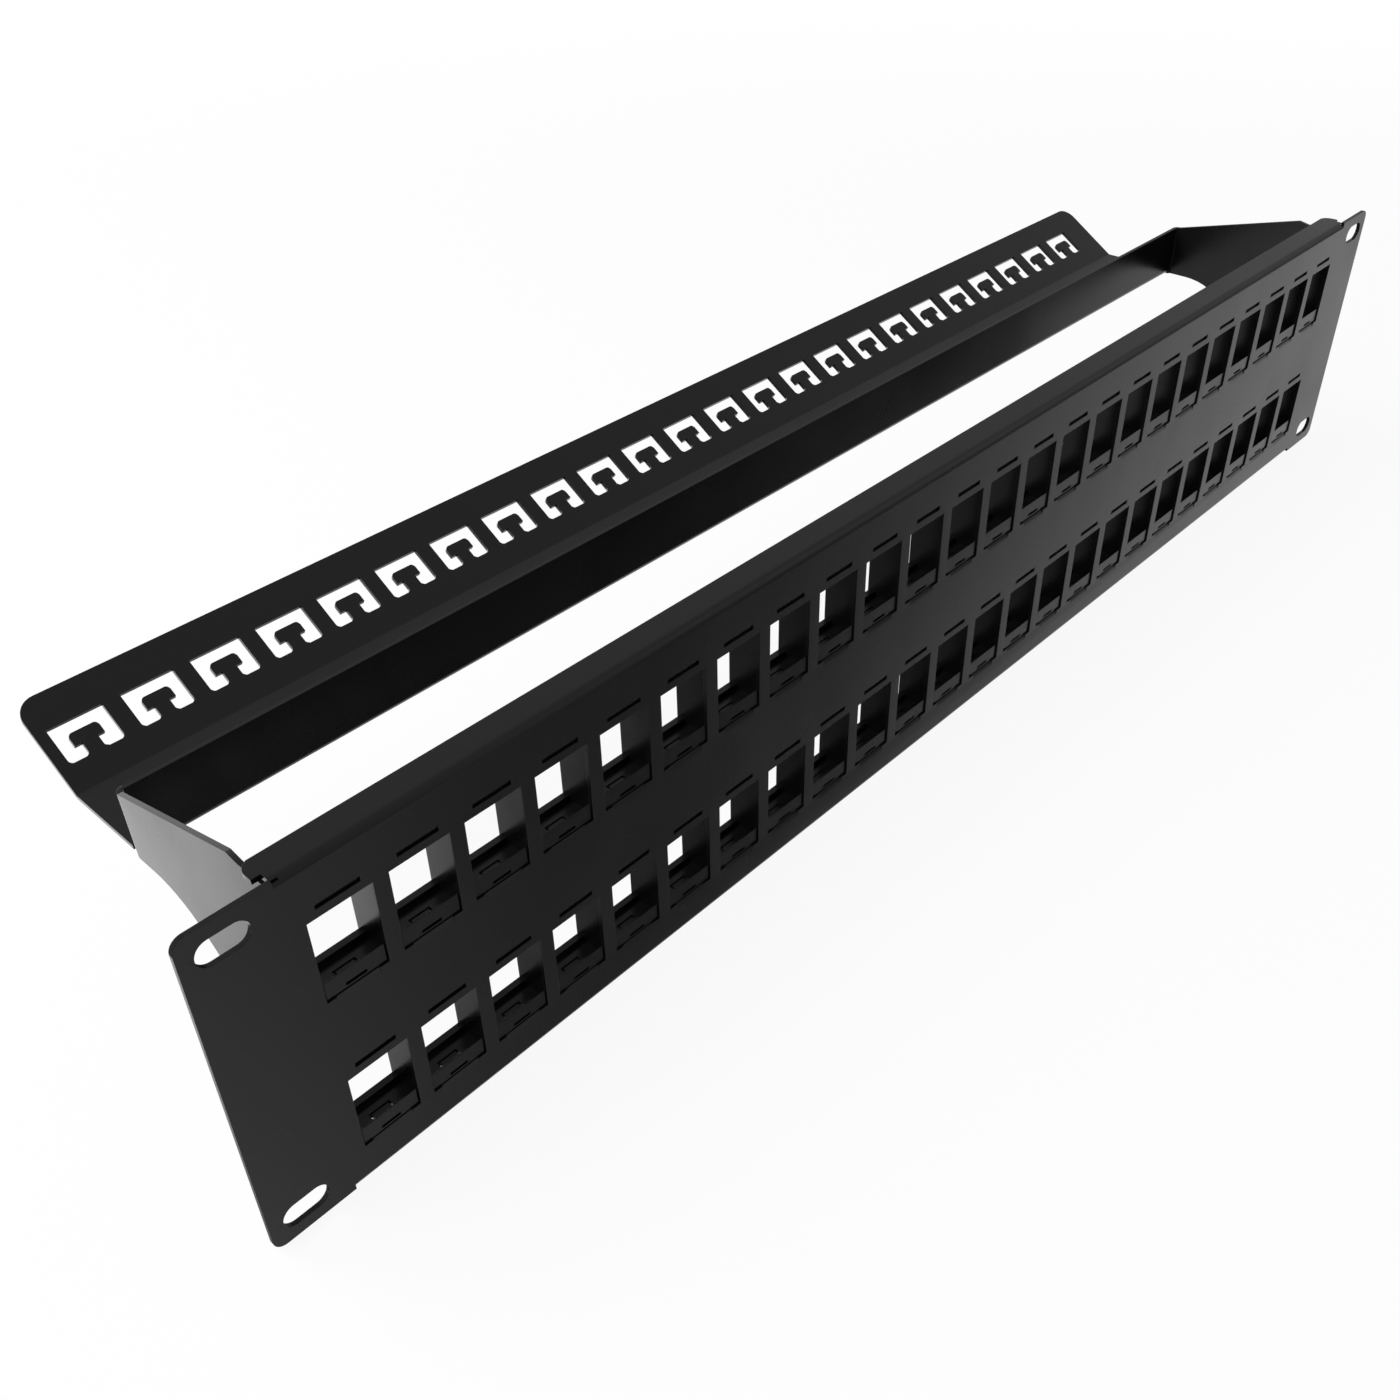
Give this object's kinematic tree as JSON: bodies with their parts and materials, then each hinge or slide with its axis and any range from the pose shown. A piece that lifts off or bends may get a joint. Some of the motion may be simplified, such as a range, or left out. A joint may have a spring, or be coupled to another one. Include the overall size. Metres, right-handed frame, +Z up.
{
  "type": "keystone patch panel",
  "caption": "Black steel rack panel with two rows of empty keystone ports, slotted ears and a folded cable bracket behind with C-shaped tie cut-outs.",
  "frame": {"origin": "centre of the four rack slots, in the rear face of the ears", "axes": "+X along the panel to the right seen from the front, +Y to the back, +Z up"},
  "size_m": [0.4826, 0.1102, 0.0888],
  "materials": {
    "black_steel": "satin black powder coat",
    "black_plastic": "satin black moulded plastic"
  },
  "bodies": {
    "root": {"front_panel": "black_steel", "cable_bracket": "black_steel", "keystone_frame_upper_01": "black_plastic", "keystone_frame_upper_02": "black_plastic", "keystone_frame_upper_03": "black_plastic", "keystone_frame_upper_04": "black_plastic", "keystone_frame_upper_05": "black_plastic", "keystone_frame_upper_06": "black_plastic", "keystone_frame_upper_07": "black_plastic", "keystone_frame_upper_08": "black_plastic", "keystone_frame_upper_09": "black_plastic", "keystone_frame_upper_10": "black_plastic", "keystone_frame_upper_11": "black_plastic", "keystone_frame_upper_12": "black_plastic", "keystone_frame_upper_13": "black_plastic", "keystone_frame_upper_14": "black_plastic", "keystone_frame_upper_15": "black_plastic", "keystone_frame_upper_16": "black_plastic", "keystone_frame_upper_17": "black_plastic", "keystone_frame_upper_18": "black_plastic", "keystone_frame_upper_19": "black_plastic", "keystone_frame_upper_20": "black_plastic", "keystone_frame_upper_21": "black_plastic", "keystone_frame_upper_22": "black_plastic", "keystone_frame_upper_23": "black_plastic", "keystone_frame_upper_24": "black_plastic", "keystone_frame_lower_01": "black_plastic", "keystone_frame_lower_02": "black_plastic", "keystone_frame_lower_03": "black_plastic", "keystone_frame_lower_04": "black_plastic", "keystone_frame_lower_05": "black_plastic", "keystone_frame_lower_06": "black_plastic", "keystone_frame_lower_07": "black_plastic", "keystone_frame_lower_08": "black_plastic", "keystone_frame_lower_09": "black_plastic", "keystone_frame_lower_10": "black_plastic", "keystone_frame_lower_11": "black_plastic", "keystone_frame_lower_12": "black_plastic", "keystone_frame_lower_13": "black_plastic", "keystone_frame_lower_14": "black_plastic", "keystone_frame_lower_15": "black_plastic", "keystone_frame_lower_16": "black_plastic", "keystone_frame_lower_17": "black_plastic", "keystone_frame_lower_18": "black_plastic", "keystone_frame_lower_19": "black_plastic", "keystone_frame_lower_20": "black_plastic", "keystone_frame_lower_21": "black_plastic", "keystone_frame_lower_22": "black_plastic", "keystone_frame_lower_23": "black_plastic", "keystone_frame_lower_24": "black_plastic"}
  },
  "joints": []
}
